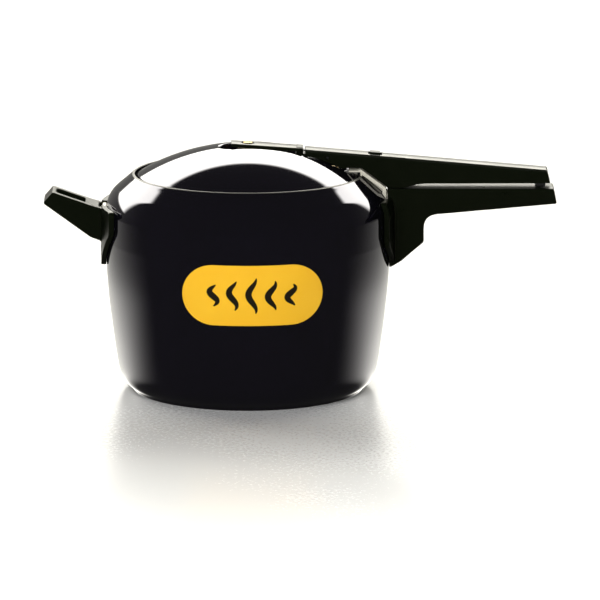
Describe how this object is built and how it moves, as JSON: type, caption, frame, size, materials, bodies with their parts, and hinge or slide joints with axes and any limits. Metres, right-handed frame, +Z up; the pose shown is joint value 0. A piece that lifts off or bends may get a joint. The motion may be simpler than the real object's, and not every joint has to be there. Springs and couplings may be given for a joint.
{
  "type": "stovetop pressure cooker",
  "caption": "Stovetop pressure cooker: round black pot with an oval mouth, inside-fitting domed lid, two long handles that close together and a short helper handle.",
  "frame": {"origin": "centre of the flat base of the pot", "axes": "+Z up, +X towards the two long handles, -Y the side with the label"},
  "size_m": [0.4, 0.2215, 0.1948],
  "materials": {
    "hard_anodised": "hard-anodised, polished near-black",
    "label_enamel": "printed yellow enamel, satin",
    "bare_aluminium": "die-cast, lightly polished",
    "phenolic": "moulded phenolic, semi-gloss",
    "steel": "stainless, brushed",
    "brass": "turned brass",
    "fusible_metal": "dull grey cast alloy",
    "black_rubber": "moulded rubber, matt"
  },
  "bodies": {
    "pot": {"pot_body": "hard_anodised", "label": "label_enamel", "body_bracket": "bare_aluminium", "body_rivet_1": "bare_aluminium", "body_rivet_2": "bare_aluminium", "body_handle": "phenolic", "body_handle_screw": "steel", "catch_stud": "steel", "helper_bracket": "bare_aluminium", "helper_rivet_1": "bare_aluminium", "helper_rivet_2": "bare_aluminium", "helper_handle": "phenolic", "helper_screw": "steel"},
    "lid_handle": {"handle_bar": "steel", "trunnion_pin_1": "steel", "trunnion_pin_2": "steel", "lid_handle": "phenolic", "bar_screw_1": "steel", "bar_screw_2": "steel", "lever_pin": "steel", "catch_clip": "steel"},
    "lid": {"lid": "hard_anodised", "gasket": "black_rubber", "lid_bracket": "steel", "vent_tube": "steel", "vent_washer": "black_rubber", "vent_nut": "steel", "safety_valve": "brass", "fusible_plug": "fusible_metal", "valve_washer": "black_rubber", "valve_nut": "brass"},
    "release_lever": {"release_lever": "phenolic"},
    "vent_weight": {"vent_weight": "brass"}
  },
  "joints": [
    {"name": "lid_lift", "type": "hinge", "parent": "pot", "child": "lid_handle", "pos_m": [0.088, 0, 0.1752], "axis": [0, -1, 0], "range_deg": [0, 5]},
    {"name": "lid_level", "type": "hinge", "parent": "lid_handle", "child": "lid", "pos_m": [0, 0, 0.18444], "axis": [0, -1, 0], "range_deg": [-5, 0]},
    {"name": "lever_press", "type": "hinge", "parent": "lid_handle", "child": "release_lever", "pos_m": [0.062, 0, 0.1836], "axis": [0, 1, 0], "range_deg": [0, 3]},
    {"name": "weight_lift", "type": "slide", "parent": "lid", "child": "vent_weight", "axis": [0, 0, 1], "range_m": [0, 0.0033]}
  ],
  "couplings": [
    {"joint": "lid_level", "follows": "lid_lift", "ratio": -1},
    {"joint": "weight_lift", "follows": "lever_press", "m_per_rad": 0.062}
  ]
}
